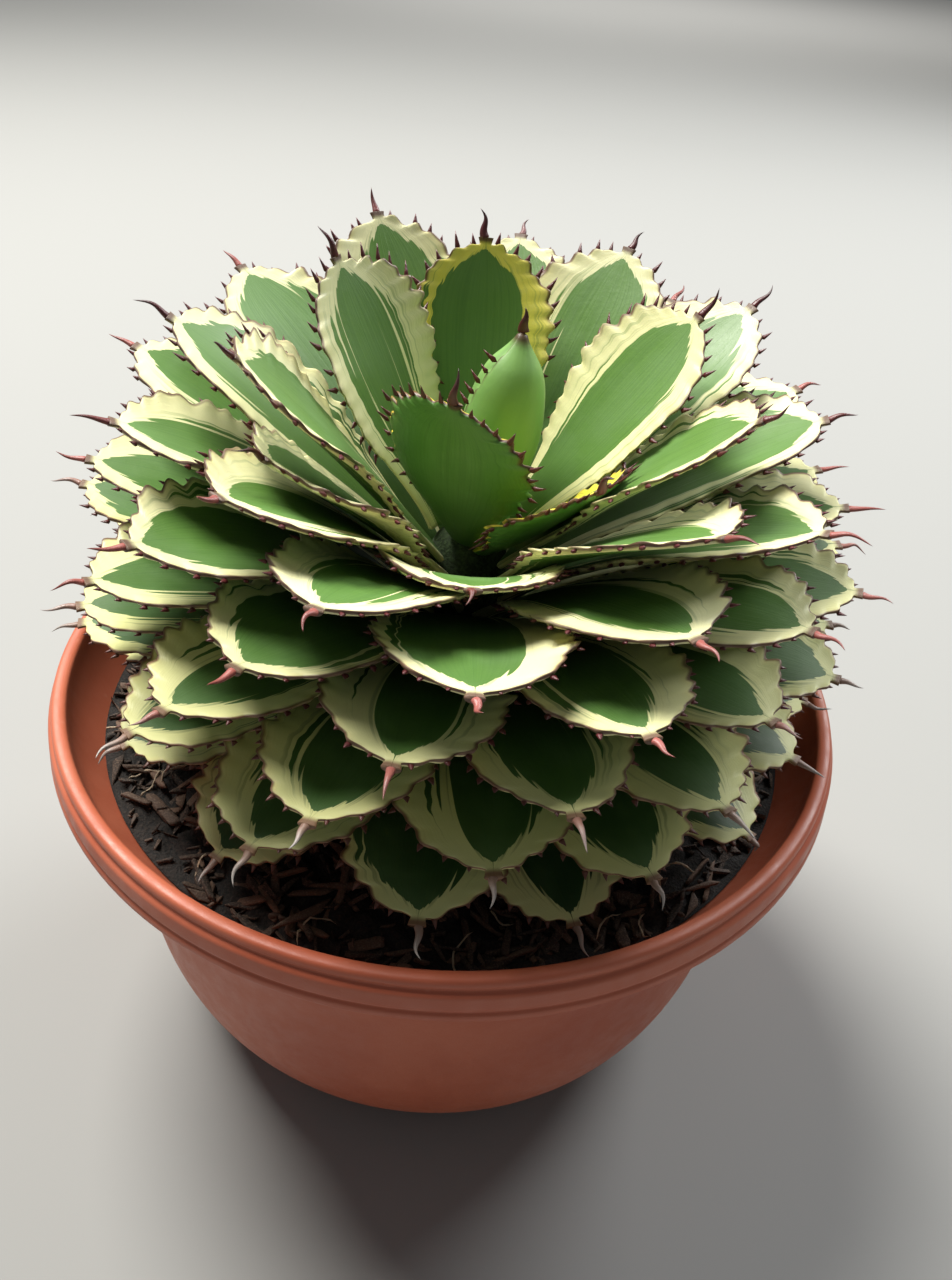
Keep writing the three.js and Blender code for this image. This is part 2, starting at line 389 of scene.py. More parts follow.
def makeBlade(name, look):
    material, tree, shader = newMaterial(name)
    across, along, face = attribute(tree, "leafPlace")
    age, seed, tooth = attribute(tree, "leafGrowth")
    masks = useGroup(tree, variegation, {
        "Across": across, "Along": along, "Face": face, "Seed": seed,
        "Green Share": look["greenShare"], "Side Spread": look["sideSpread"],
        "Under Share": look["underShare"], "Streaks": look["streaks"],
    })
    patches = useGroup(tree, mottle, {"Place": objectPlace(tree), "Size": look["patches"]})
    ribs = vector(tree, times(tree, across, look["ribs"][0]), times(tree, along, look["ribs"][1]), seed)
    ribs = noise(tree, ribs, 1.0, 3.0, 0.6)
    # the green: by age, darker on old leaves partly by age and partly as painted shade on the low leaves, with a
    # bloom and ribs, and painted shade towards the foot of the older leaves
    green = blendColour(tree, age, look["youngGreen"], look["oldShadedGreen"])
    # painted light: the bud's green is paler and brighter than the other young leaves' to stand in for the light
    # falling on it
    green = blendColour(tree, ramp(tree, age, *look["budAge"]), green, look["budLitGreen"])
    bloom = times(tree, ramp(tree, patches["Broad"], 0.35, 0.75), look["bloom"])
    green = blendColour(tree, bloom, green, look["bloomColour"])
    ribbed = times(tree, ramp(tree, ribs, 0.4, 0.7), look["ribShare"])
    green = blendColour(tree, ribbed, green, look["ribGreen"])
    # painted shade: the older leaves' green darkens towards the foot, where the leaves above shade it
    deep = times(tree, ramp(tree, along, *look["footShadeAlong"]), ramp(tree, age, *look["footShadeAge"]))
    green = blendColour(tree, deep, green, look["footShadeGreen"])
    # the cream: yellow on the youngest leaves, duller and darker on old ones partly by age and partly as painted
    # shade on the low leaves, with a warmer rind
    cream = blendColour(tree, ramp(tree, age, *look["yellowUntil"]), look["yellow"], look["cream"])
    cream = blendColour(tree, ramp(tree, age, *look["oldAge"]), cream, look["oldShadedCream"])
    outer = ramp(tree, maths(tree, "ABSOLUTE", across), *look["rindAcross"])
    least, more = look["rindShare"]
    rind = times(tree, outer, plus(tree, least, times(tree, seed, more)))
    cream = blendColour(tree, rind, cream, look["rind"])
    shade = times(tree, ramp(tree, patches["Fine"], 0.45, 0.75), look["shadeShare"])
    cream = blendColour(tree, shade, cream, look["creamShade"])
    margin = blendColour(tree, masks["Pale Green"], cream, blendColour(tree, 0.55, green, cream))
    skin = blendColour(tree, masks["Cream"], green, margin)
    dark = times(tree, maths(tree, "MAXIMUM", masks["Horny Edge"], tooth), look["hornShare"])
    hornColour = blendColour(tree, ramp(tree, age, *look["hornAge"]), look["youngHorn"], look["oldHorn"])
    byRib, byPatch = look["relief"]
    relief = plus(tree, times(tree, ribs, byRib), times(tree, patches["Fine"], byPatch))
    dress(tree, shader, blendColour(tree, dark, skin, hornColour), patches["Broad"], look["roughness"],
          relief, 0.0005, 0.35)
    shader.inputs["Specular IOR Level"].default_value = look["sheen"]
    return material


hornLook = {
    "youngRoot": (0.110, 0.014, 0.018),
    "youngTip": (0.045, 0.006, 0.010),
    "rosyRoot": (0.46, 0.13, 0.11),
    "rosyTip": (0.26, 0.060, 0.050),
    "oldRoot": (0.33, 0.20, 0.15),
    "oldTip": (0.47, 0.43, 0.40),
    "tooth": (0.115, 0.016, 0.020),
    "oldTooth": (0.160, 0.055, 0.038),
    "grain": (0.05, 0.03, 0.025),
    "grainShare": 0.35,
    "grainSize": 260.0,
    "leafSpread": 0.16,
    "rosyAge": (0.08, 0.30),
    "greyAge": (0.42, 0.66),
    "toothAge": (0.4, 0.9),
    "roughness": (0.28, 0.5),
}


def makeHorn(look):
    material, tree, shader = newMaterial("spineHorn")
    isTooth, along = attribute(tree, "leafPlace")[:2]
    age, seed = attribute(tree, "leafGrowth")[:2]
    reach = ramp(tree, along, 0.15, 0.9)
    young, rosy, old = (
        blendColour(tree, reach, look[f"{kind}Root"], look[f"{kind}Tip"]) for kind in ("young", "rosy", "old"))
    # spines turn rosy and then grey, each leaf's a little before or after its neighbours'
    spread = plus(tree, age, times(tree, minus(tree, seed, 0.5), look["leafSpread"]))
    colour = blendColour(tree, ramp(tree, spread, *look["rosyAge"]), young, rosy)
    colour = blendColour(tree, ramp(tree, spread, *look["greyAge"]), colour, old)
    toothColour = blendColour(tree, ramp(tree, spread, *look["toothAge"]), look["tooth"], look["oldTooth"])
    colour = blendColour(tree, isTooth, colour, toothColour)
    grain = useGroup(tree, mottle, {"Place": objectPlace(tree), "Size": look["grainSize"]})
    colour = blendColour(tree, times(tree, grain["Fine"], look["grainShare"]), colour, look["grain"])
    dress(tree, shader, colour, grain["Broad"], look["roughness"], grain["Fine"], 0.0003, 0.4)
    return material


terracottaLook = {
    "colour": (0.46, 0.105, 0.050),
    "warm": (0.54, 0.145, 0.075),
    "scuff": (0.62, 0.30, 0.20),
    "scuffShare": 0.35,
    "patches": 16.0,
    "grain": 130.0,
    "roughness": (0.40, 0.56),
}


def makeTerracotta(look):
    material, tree, shader = newMaterial("terracottaPlastic")
    place = objectPlace(tree)
    patches = useGroup(tree, mottle, {"Place": place, "Size": look["patches"]})
    grain = useGroup(tree, mottle, {"Place": place, "Size": look["grain"]})
    colour = blendColour(tree, ramp(tree, patches["Broad"], 0.35, 0.7), look["colour"], look["warm"])
    scuffs = times(tree, ramp(tree, grain["Broad"], 0.62, 0.74), ramp(tree, patches["Fine"], 0.5, 0.7))
    colour = blendColour(tree, times(tree, scuffs, look["scuffShare"]), colour, look["scuff"])
    dress(tree, shader, colour, patches["Fine"], look["roughness"], grain["Fine"], 0.00025, 0.3)
    return material


humusLook = {
    "dark": (0.004, 0.0032, 0.0028),
    "light": (0.032, 0.024, 0.018),
    "grain": 120.0,
    "depth": 0.0016,
    "roughness": (0.75, 0.98),
}

# painted shade: the stem is a dark green that stands in for the deep shadow in the middle of the rosette
shadedStemLook = {
    **humusLook,
    "dark": (0.018, 0.032, 0.010),
    "light": (0.06, 0.10, 0.035),
    "grain": 90.0,
    "depth": 0.0008,
}


def makeEarth(name, look):
    material, tree, shader = newMaterial(name)
    grain = useGroup(tree, mottle, {"Place": objectPlace(tree), "Size": look["grain"]})
    colour = blendColour(tree, ramp(tree, grain["Fine"], 0.35, 0.75), look["dark"], look["light"])
    dress(tree, shader, colour, grain["Broad"], look["roughness"], grain["Fine"], look["depth"], 0.8)
    return material


chipLook = {
    "dark": (0.020, 0.013, 0.009),
    "light": (0.150, 0.085, 0.052),
    "dry": (0.48, 0.38, 0.26),
    "dust": (0.26, 0.18, 0.125),
    "dustShare": 0.5,
    "grain": 190.0,
    "roughness": (0.62, 0.9),
}


def makeBarkChip(look):
    material, tree, shader = newMaterial("barkChip")
    tone, dry = attribute(tree, "chipTone")[:2]
    grain = useGroup(tree, mottle, {"Place": objectPlace(tree), "Size": look["grain"]})
    colour = blendColour(tree, tone, look["dark"], look["light"])
    colour = blendColour(tree, dry, colour, look["dry"])
    dusty = times(tree, ramp(tree, grain["Fine"], 0.45, 0.72), look["dustShare"])
    colour = blendColour(tree, dusty, colour, look["dust"])
    dress(tree, shader, colour, grain["Broad"], look["roughness"], grain["Fine"], 0.0006, 0.8)
    return material


bladeSkin = makeBlade("leafBlade", bladeLook)
youngSkin = makeBlade("youngBlade", youngLook)
hornSkin = makeHorn(hornLook)
terracotta = makeTerracotta(terracottaLook)
humus = makeEarth("humus", humusLook)
shadedStem = makeEarth("shadedStem", shadedStemLook)
chipSkin = makeBarkChip(chipLook)
print("materials made")


# Bowl

bowl = {
    "rimRadius": 0.150,
    "rimEdgeHeight": 0.145,
    "wallRadius": 0.127,
    "baseRadius": 0.076,
    "wallThickness": 0.003,
    "wallPowers": (4, 2 / 3),  # how square and how round the wall's curve is
    "bendHeight": 0.117,  # where the wall comes upright
    "flareWidth": 0.014,
    "flareHeight": 0.014,
    "floorHeight": 0.004,
    # corners of the rim's rolls from the inside out: past the rim's radius, above its edge
    "rolls": (
        (-0.0085, 0.0100), (-0.0075, 0.0150), (-0.0055, 0.0160), (-0.0030, 0.0158),
        (-0.0022, 0.0135), (-0.0030, 0.0122), (-0.0010, 0.0108), (-0.0004, 0.0052),
        (-0.0013, 0.0042), (-0.0001, 0.0030), (-0.0001, 0.0004), (-0.0030, 0),
    ),
    "rollCorner": 0.0011,  # where each corner's curve begins
    "cornerSteps": 4,
    "lip": 0.001,
    "tuck": 0.002,  # how far below its edge the rim meets the wall
    "rollReach": 0.008,  # how far below its edge the plain wall ends
    "wallRings": 34,
    "turnSteps": 160,
}


def wallAt(height):
    flare = bowl["flareWidth"] * math.exp((height - bowl["rimEdgeHeight"]) / bowl["flareHeight"])
    turn = min(max((bowl["bendHeight"] - height) / bowl["bendHeight"], 0), 1)
    square, roundness = bowl["wallPowers"]
    return bowl["baseRadius"] + (bowl["wallRadius"] - bowl["baseRadius"]) * (1 - turn ** square) ** roundness + flare


def innerWallAt(height):
    return wallAt(height) - bowl["wallThickness"]


def wallHeights(top, bottom):
    rings = bowl["wallRings"]
    return [mix(bottom, top, 1 - math.sin(i / rings * math.pi / 2)) for i in range(rings + 1)]


def rounded(outline, reach):
    # each corner of the outline is turned into a short curve that starts at most reach before it
    points = [outline[0]]
    for before, corner, after in zip(outline, outline[1:], outline[2:]):
        enter = corner + (before - corner) * min(reach / (before - corner).length, 0.5)
        leave = corner + (after - corner) * min(reach / (after - corner).length, 0.5)
        for i in range(bowl["cornerSteps"] + 1):
            t = i / bowl["cornerSteps"]
            points.append(enter * (1 - t) ** 2 + corner * 2 * t * (1 - t) + leave * t ** 2)
    return points + [outline[-1]]


def spinOutline(bm, outline, steps):
    vertices = [bm.verts.new((radius, 0, height)) for radius, height in outline]
    edges = [bm.edges.new(pair) for pair in zip(vertices, vertices[1:])]
    bmesh.ops.spin(bm, geom=vertices + edges, cent=(0, 0, 0), axis=(0, 0, 1), dvec=(0, 0, 0),
                   angle=math.tau, steps=steps, use_merge=True, use_normal_flip=False, use_duplicate=False)
    bmesh.ops.remove_doubles(bm, verts=bm.verts, dist=1e-6)
    bmesh.ops.recalc_face_normals(bm, faces=bm.faces)


def buildBowl():
    edge, rim, lip = bowl["rimEdgeHeight"], bowl["rimRadius"], bowl["lip"]
    under = edge - bowl["tuck"]
    rolls = [(innerWallAt(edge + lip), edge + lip)]
    rolls += [(rim + past, edge + above) for past, above in bowl["rolls"]]
    rolls += [(wallAt(under - lip) + lip, under)]
    rolls = rounded([Vector(corner) for corner in rolls], bowl["rollCorner"])
    wallTop = edge - bowl["rollReach"]
    inside = [(innerWallAt(h), h) for h in reversed(wallHeights(wallTop, bowl["floorHeight"]))]
    outside = [(wallAt(h), h) for h in wallHeights(wallTop, 0)]
    bm = bmesh.new()
    spinOutline(bm, [(0, bowl["floorHeight"])] + inside + rolls + outside + [(0, 0)], bowl["turnSteps"])
    finishPiece(bm, "bowl", [terracotta], ["pot"])


buildBowl()
print("bowl made")


# Soil and bark

soil = {
    "height": 0.138,
    "gap": 0.00035,  # between the soil and the bowl
    "holeRadius": 0.0154,
    "holeDepth": 0.046,
    "relief": 0.0022,  # height of the broad bulges
    "crumb": 0.0016,  # height of the fine crumbs
    # each ripple's radians in a metre, how much it is bent, and the bend's radians in a metre
    "bulgeRipples": ((370, 2, 210), (330, 2, 170)),
    "crumbRipples": ((1900, 3, 1300), (2100, 2.5, 1500), (4300, 2, 3700), (3900, 2, 4700)),
    "crumbMix": (0.65, 0.35),  # of the larger and the finer ripples
    "crumbBed": 0.4,  # how much of the crumbs' height the chips follow
    "fadeWidth": 0.006,
    "levelEdge": 0.001,  # kept flat at the hole and at the wall
    "holeShift": 1.15,  # above 1, so that the hole moves whole
    "rings": 74,
    "turnSteps": 200,
}


def ripple(ahead, aside, waves, curve=math.sin):
    turns, bend, bendTurns = waves
    return curve(turns * ahead + bend * math.sin(bendTurns * aside))


def soilBulge(x, y):
    first, second = soil["bulgeRipples"]
    return soil["relief"] * (ripple(x, y, first) * ripple(y, x, second, math.cos))


def crumbs(x, y):
    waves = soil["crumbRipples"]
    fine = ripple(x, y, waves[0]) * ripple(y, x, waves[1])
    finer = ripple(x, y, waves[2]) * ripple(y, x, waves[3])
    return soil["crumb"] * (soil["crumbMix"][0] * fine + soil["crumbMix"][1] * finer)


def buildSoil():
    height, gap, inner = soil["height"], soil["gap"], soil["holeRadius"]
    outer = innerWallAt(height) - gap
    deep, bottom = height - soil["holeDepth"], bowl["floorHeight"] + gap
    top = [(mix(inner, outer, i / soil["rings"]), height) for i in range(soil["rings"] + 1)]
    heights = wallHeights(bowl["rimEdgeHeight"] - bowl["rollReach"], bowl["floorHeight"])
    side = [(innerWallAt(h) - gap, max(h, bottom)) for h in heights[1:]]
    bm = bmesh.new()
    spinOutline(bm, [(0, deep), (inner, deep)] + top + side + [(0, bottom)], soil["turnSteps"])
    shift = Vector((plantMiddle.x, plantMiddle.y, 0))
    for vertex in bm.verts:
        radius = math.hypot(vertex.co.x, vertex.co.y)
        if vertex.co.z > height - gap and inner + soil["levelEdge"] < radius < outer - soil["levelEdge"]:
            fade = smooth((outer - radius) / soil["fadeWidth"])
            vertex.co.z += (soilBulge(vertex.co.x, vertex.co.y) + crumbs(vertex.co.x, vertex.co.y)) * fade
        # the hole goes under the plant's middle, while the outer edge stays in the bowl
        vertex.co += shift * smooth((outer - radius) / (outer - inner) * soil["holeShift"])
    finishPiece(bm, "soil_bed", [humus], ["soil"])


def soilTop(x, y):
    edge = innerWallAt(soil["height"]) - soil["gap"] - math.hypot(x, y)
    bed = soilBulge(x, y) + soil["crumbBed"] * crumbs(x, y)
    return soil["height"] + bed * smooth(edge / soil["fadeWidth"])


bark = {
    "count": 1700,
    "crumbShare": 0.5,  # the share of chips that are crumbs
    "crumbSize": (0.3, 0.5),
    "crumbShade": 0.6,
    "length": (0.006, 0.017),
    "width": (0.0014, 0.0046),
    "widest": 0.6,  # of the length
    "thickness": (0.0006, 0.0018),
    "bevel": 0.13,  # of a unit cube
    "ends": (0.35, 1.1),  # the width left at each end
    "skew": 0.5,
    "curl": (-0.2, 0.9),
    "lift": (0.25, 1.1),
    "tilt": 13,
    "roughLength": (0.9, 1.1),
    "roughWidth": (0.75, 1.25),
    "roughThickness": (0.7, 1.2),
    "wallGap": 0.002,
    "spread": (0.30, 1.0),  # shares of the soil's area, from the middle, that have chips
    "strands": 46,
    "strandLength": (0.008, 0.022),
    "strandBend": 1.4,
    "strandArch": (0.0004, 0.003),
    "strandLift": 0.0016,
    "strandRadius": 0.00034,
    "strandSides": 5,
    "strandRings": 9,
    "seed": 11,
}


def makeChip():
    bm = bmesh.new()
    bm.verts.layers.float_vector.new("chipTone")
    bmesh.ops.create_cube(bm, size=1)
    bmesh.ops.bevel(bm, geom=bm.edges[:], offset=bark["bevel"], offset_type="OFFSET", segments=1, profile=0.5,
                    affect="EDGES", material=-1, clamp_overlap=True)
    return saveMesh(bm, "chip")


def spotOnSoil(chance, outer):
    radius = outer * math.sqrt(chance.uniform(*bark["spread"]))
    turn = chance.uniform(0, math.tau)
    return radius * math.cos(turn), radius * math.sin(turn)


def addChip(bm, chance, template, outer):
    crumb = chance.random() < bark["crumbShare"]
    size = chance.uniform(*bark["crumbSize"]) if crumb else 1
    length = size * chance.uniform(*bark["length"])
    width = min(size * chance.uniform(*bark["width"]), bark["widest"] * length)
    thick = chance.uniform(*bark["thickness"])
    x, y = spotOnSoil(chance, outer)
    shade = chance.random() ** 1.5 * (bark["crumbShade"] if crumb else 1)
    ends = (chance.uniform(*bark["ends"]), chance.uniform(*bark["ends"]))
    skew = chance.uniform(-bark["skew"], bark["skew"])
    curl = chance.uniform(*bark["curl"]) * thick
    tilt = math.radians(bark["tilt"])
    aim = (Matrix.Translation((x, y, soilTop(x, y) + thick * chance.uniform(*bark["lift"])))
           @ Matrix.Rotation(chance.uniform(0, math.tau), 4, "Z")
           @ Matrix.Rotation(chance.gauss(0, tilt), 4, "Y") @ Matrix.Rotation(chance.gauss(0, tilt), 4, "X"))
    made = addCopy(bm, template)
    tone = bm.verts.layers.float_vector["chipTone"]
    for vertex in made:
        slim = mix(ends[0], ends[1], vertex.co.x + 0.5)
        reached = (vertex.co.x + skew * vertex.co.y) * length * chance.uniform(*bark["roughLength"])
        aside = vertex.co.y * width * slim * chance.uniform(*bark["roughWidth"])
        height = vertex.co.z * thick * chance.uniform(*bark["roughThickness"]) + curl * vertex.co.x ** 2
        vertex.co = holdInside(aim @ Vector((reached, aside, height)), outer + 0.5 * bark["wallGap"])
        vertex[tone] = (shade, 0, 0)


def addStrand(bm, chance, template, outer):
    x, y = spotOnSoil(chance, outer)
    heading = chance.uniform(0, math.tau)
    length = chance.uniform(*bark["strandLength"])
    bend = chance.uniform(-bark["strandBend"], bark["strandBend"])
    arch = chance.uniform(*bark["strandArch"])
    made = addCopy(bm, template)
    tone = bm.verts.layers.float_vector["chipTone"]
    for vertex in made:
        around, along = vertex[tone].xy
        way = heading + bend * (along - 0.5)
        reached = (along - 0.5) * length
        thick = bark["strandRadius"] * (1 - (2 * along - 1) ** 4) ** 0.5
        aside, up = thick * math.cos(math.tau * around), thick * math.sin(math.tau * around)
        px = x + reached * math.cos(way) - aside * math.sin(way)
        py = y + reached * math.sin(way) + aside * math.cos(way)
        height = soilTop(px, py) + bark["strandLift"] + arch * math.sin(math.pi * along) + up
        vertex.co = holdInside(Vector((px, py, height)), outer + 0.5 * bark["wallGap"])
        vertex[tone] = (0, 1, 0)


def buildBark():
    chance = random.Random(bark["seed"])
    outer = innerWallAt(soil["height"]) - bark["wallGap"]
    chip = makeChip()
    strand = makeTube("strand", ["chipTone"], bark["strandSides"], bark["strandRings"], 0)
    bm = bmesh.new()
    bm.verts.layers.float_vector.new("chipTone")
    for i in range(bark["count"]):
        addChip(bm, chance, chip, outer)
    for i in range(bark["strands"]):
        addStrand(bm, chance, strand, outer)
    bmesh.ops.recalc_face_normals(bm, faces=bm.faces)
    finishPiece(bm, "bark_chips", [chipSkin], [])
    bpy.data.meshes.remove(chip)
    bpy.data.meshes.remove(strand)


buildSoil()
buildBark()
print("soil made")


# Leaves

rosette = {
    "radius": 0.138,
    "leafCount": 87,
    "heartLeaves": 3,
    "lowLeaves": 28,
    "turnStep": 137.8,
    "firstTurn": 182,
    "spreadLeaves": 14,  # the youngest leaves, which open from the upright by a square root
    "leavesPerHalf": 74.4,  # that the even spread has from the upright to the level
    "missingLeaves": 13.5,  # how many leaves from the upright the even spread starts
    "reachSpread": 0.0025,
    "youngDip": 0.041,  # how much shorter the youngest leaves are
    "youngSpan": 4.2,
    "leanX": 0.07,
    "leanY": -0.23,
    "stemDrop": 0.046,  # how much lower the oldest leaves spring
    "dropFrom": 0.5,  # radians from the upright
    "dropSpan": 1.5,
    "seed": 400,
    "diceStart": 17,
    "diceStep": 7919,
    # leaves that stand off the even spiral: degrees from the upright, degrees about it, reach, arch
    "placedLeaves": {
        0: (15, 76, 0.092, -0.003),
        1: (36, 318, 0.088, -0.006),
        2: (16, 241, 0.094, -0.008),
        3: (36, 98, 0.118, -0.002),
        4: (35.5, 29.5, 0.121, 0),
        5: (33, 146, 0.118, 0),
        6: (43, 65, 0.131, 0.002),
        10: (46, 220, 0.118, 0.002),
        18: (54, 270, 0.114, 0.004),
    },
}

leaf = {
    "start": 0.0203,
    "lowStart": 0.014,
    "halfWidth": 0.0255,
    "widthSpread": 0.05,
    "youngWidth": 0.86,  # how wide the youngest leaf is, as a share
    "wideFrom": 5,  # the leaf that is full width
    "arch": 0.0086,
    "archFrom": 24,  # the leaf that has the full arch
    "gutter": 0.004,
    "gutterLimit": 1.2,
    "heartClasp": 0.45,  # how much more upright the heart's leaves are at the foot
    "twist": 0.08,
    "neckShare": 0.28,
    "widestAt": 0.70,
    "tipBluntness": 3,
    "tipRoundness": 0.85,
    "bladeEnd": 0.982,  # where the blade has narrowed to the spine
    "thickness": 0.0046,
    "tipThickness": 0.002,
    "marginDepth": 0.0005,
    "marginPower": 6,
    "edgePower": 2.6,  # how blunt the margin is
    "tipHalfWidth": 0.0013,
    "tipSwell": 1.1,
    "tipLength": 0.05,
    "rows": 108,  # along the blade
    "rowCrowding": 1.6,  # how much closer the rows stand near the tip
    "runSteps": 160,
    "sides": 24,  # round the blade
    "firstBump": 0.34,
    "lastBump": 0.972,
    "bumps": 13,  # down each margin
    "bumpHeight": 0.0024,
    "bumpSwell": 0.0010,
    "swellFrom": 0.72,  # shares of the half width
    "swellSpan": 0.25,
    "pushFrom": 0.5,
    "bumpShift": 0.26,
    "bumpSizes": (0.50, 1.30),
    "bumpSpans": (0.56, 0.78),
    "endBumps": 3,  # bumps at each end that grow or fade
    "footBump": 0.45,
    "tipBump": 0.5,
    "toothRoot": 0.42,  # of a bump's width that takes the tooth's colour
    "rootFrom": 0.955,
    "rootSpan": 0.03,
    "wave": 0.0011,
    "waveTurn": 9,  # radians from foot to tip
    "waveShift": 2,  # between the two margins
    "soilGap": 0.001,
    "wallGap": 0.0025,
    "rimReach": 0.018,  # how far above the rim's edge the bowl is kept clear
}

horn = {
    "youngTooth": 0.0062,
    "oldTooth": 0.0030,
    "toothWidth": 0.0027,
    "toothFlat": 0.62,
    "toothSides": 6,
    "toothRings": 4,
    "toothSunk": 0.0011,  # how far inside the margin it starts
    "toothDepth": 0.0009,  # how far under the upper face
    "toothAging": 9,  # leaves over which the teeth shorten
    "toothLengths": (0.6, 1.15),
    "smallTooth": (0.7, 0.75),  # the length and width left on a bump that has faded
    "lean": (-0.35, 0.55),  # back towards the foot low on the leaf, forwards near its tip
    "leanFrom": 0.4,
    "leanSpan": 0.4,
    "leanSpread": 0.2,
    "hook": (0.25, 0.6),
    "hookRise": (-0.1, 0.35),
    "spine": 0.0105,
    "spineSpread": 0.2,
    "spineBend": 0.003,
    "spineCurl": (-0.002, 0.0025),
    "spineSway": 0.30,
    "spineTurn": 1.4,
    "spineDepth": 0.001,
    "spineRoot": 0.1,  # the share of its length inside the leaf
    "spineWidth": 0.0029,
    "youngSpine": 1.5,  # how much wider the youngest is
    "spineAging": 4,  # leaves over which the spines narrow
    "spineFlat": 0.72,
    "spineSides": 10,
    "spineRings": 14,
    "taper": 0.85,
}

bud = {
    "radii": (0, 0.010, 0.013, 0.0145, 0.0135, 0.0100, 0.0013),  # from its foot up
    "sides": 60,
    "rings": 72,
    "overlap": 0.0014,  # how far the free edge stands proud
    "sunk": 0.0012,  # how far its skin lies inside those radii
    "edgeTurn": (184, 232),  # where the free edge lies at the foot and at the tip
    "teeth": 9,
    "teethFrom": 0.42,
    "teethReach": 0.5,
    "toothTurn": 0.02,  # radians past the free edge
    "toothSunk": 0.0004,
    "toothOut": 0.5,
    "toothAhead": (0.2, 0.7),
    "toothLengths": (0.55, 0.95),
    "toothHook": (0.2, 0.6),
    "toothWidth": 1.1,
    "footFade": 0.2,  # shares of its length over which the free edge rises and closes
    "tipFade": 0.12,
    "hornyTurn": 0.025,  # the share of a turn that the horny edge takes
    "hornyFrom": 0.3,
    "hornySpan": 0.2,
    "hornyTip": 0.93,
    "hornyTipSpan": 0.05,
    "across": (0.12, 0.2),  # the part of the blade's pattern that it wears
    "along": 0.55,
}

stem = {
    "radius": 0.020,
    "neckRadius": 0.015,
    "neckRise": 0.004,  # above the soil
    "neckGap": 0.001,  # above the hole's floor
    "rings": 14,
    "neckRings": 3,
    "sides": 48,
}

leafMarks = ["leafPlace", "leafGrowth"]
tubes = {
    "blade": makeTube("blade", leafMarks, leaf["sides"], leaf["rows"], 0),
    "bud": makeTube("bud", leafMarks, bud["sides"], bud["rings"], 0),
    "tooth": makeTube("tooth", leafMarks, horn["toothSides"], horn["toothRings"], 1),
    "spine": makeTube("spine", leafMarks, horn["spineSides"], horn["spineRings"], 1),
    "stem": makeTube("stem", leafMarks, stem["sides"], stem["rings"], 2),
}


def rosetteWay(polar, turn):
    up = math.cos(polar)
    leaning = ((1 + up) / 2) ** 2
    out = math.sin(polar)
    lean = Vector((rosette["leanX"] * leaning, rosette["leanY"] * leaning, 0))
    return (Vector((out * math.cos(turn), out * math.sin(turn), up)) + lean).normalized()


def rosettePoint(distance, polar, turn):
    low = smooth((polar - rosette["dropFrom"]) / rosette["dropSpan"])
    sunk = rosette["stemDrop"] * low * (1 - distance / rosette["radius"])
    return rosetteWay(polar, turn) * distance + plantMiddle - Vector((0, 0, sunk))


def leafPolar(index):
    # even over the globe, and by a square root from the upright over the youngest leaves
    spread = rosette["spreadLeaves"]
    even = math.acos(1 - (max(index, spread) + rosette["missingLeaves"]) / rosette["leavesPerHalf"])
    return even if index >= spread else even * math.sqrt((index + 0.1) / spread)


def leafPlan(index, start):
    dice = makeDice(index * rosette["diceStep"] + rosette["diceStart"])
    dice()
    dip = rosette["youngDip"] * math.exp(-index / rosette["youngSpan"])
    reach = rosette["radius"] - dip + rosette["reachSpread"] * dice()
    width = mix(leaf["youngWidth"], 1, smooth(index / leaf["wideFrom"])) * (1 + leaf["widthSpread"] * dice())
    plan = {
        "index": index,
        "age": index / (rosette["leafCount"] - 1),
        "start": start,
        "reach": reach,
        "polar": leafPolar(index + 1),
        "turn": math.radians(rosette["firstTurn"] + (index + 1) * rosette["turnStep"]),
        "halfWidth": leaf["halfWidth"] * width,
        "arch": leaf["arch"] * smooth(index / leaf["archFrom"]),
        "clasp": leaf["heartClasp"] if index < rosette["heartLeaves"] else 0,
        "twist": leaf["twist"] * dice(),
        "spineBend": horn["spineBend"] * dice(),
        "spine": horn["spine"] * (1 + horn["spineSpread"] * dice()),
        "chance": random.Random(index + rosette["seed"]),
    }
    if index in rosette["placedLeaves"]:
        polar, turn, reach, arch = rosette["placedLeaves"][index]
        plan.update(polar=math.radians(polar), turn=math.radians(turn), reach=reach, arch=arch)
    plan["seed"] = plan["chance"].random()
    plan["wavePhase"] = plan["chance"].uniform(0, math.tau)
    plan["run"] = marginRun(plan)
    plan["bumps"] = [bumpRow(plan), bumpRow(plan)]
    return plan


def marginRun(plan):
    # length of the margin from the leaf's foot to evenly spaced places along it
    steps = leaf["runSteps"]
    length = plan["reach"] - plan["start"]
    run = [0]
    for i in range(steps):
        narrowing = bladeHalf(plan, (i + 1) / steps) - bladeHalf(plan, i / steps)
        run.append(run[-1] + math.hypot(length / steps, narrowing))
    return run


def runAt(plan, along):
    place = along * leaf["runSteps"]
    i = min(int(place), leaf["runSteps"] - 1)
    return mix(plan["run"][i], plan["run"][i + 1], place - i)


def bumpRow(plan):
    # the rounded bumps of one margin: where each stands on its run and on the leaf, how high and how wide
    chance = plan["chance"]
    first, last = runAt(plan, leaf["firstBump"]), runAt(plan, leaf["lastBump"])
    pitch = (last - first) / leaf["bumps"]
    ends = leaf["endBumps"]
    row = []
    for i in range(leaf["bumps"]):
        middle = first + pitch * (i + 0.5 + chance.uniform(-leaf["bumpShift"], leaf["bumpShift"]))
        size = chance.uniform(*leaf["bumpSizes"]) * mix(leaf["footBump"], 1, smooth(i / ends))
        size *= mix(1, leaf["tipBump"], smooth((i - leaf["bumps"] + ends) / ends))
        span = pitch * chance.uniform(*leaf["bumpSpans"])
        along = min(bisect.bisect(plan["run"], middle) / leaf["runSteps"], leaf["lastBump"])
        row.append({"middle": middle, "size": size, "span": span, "along": along})
    return row


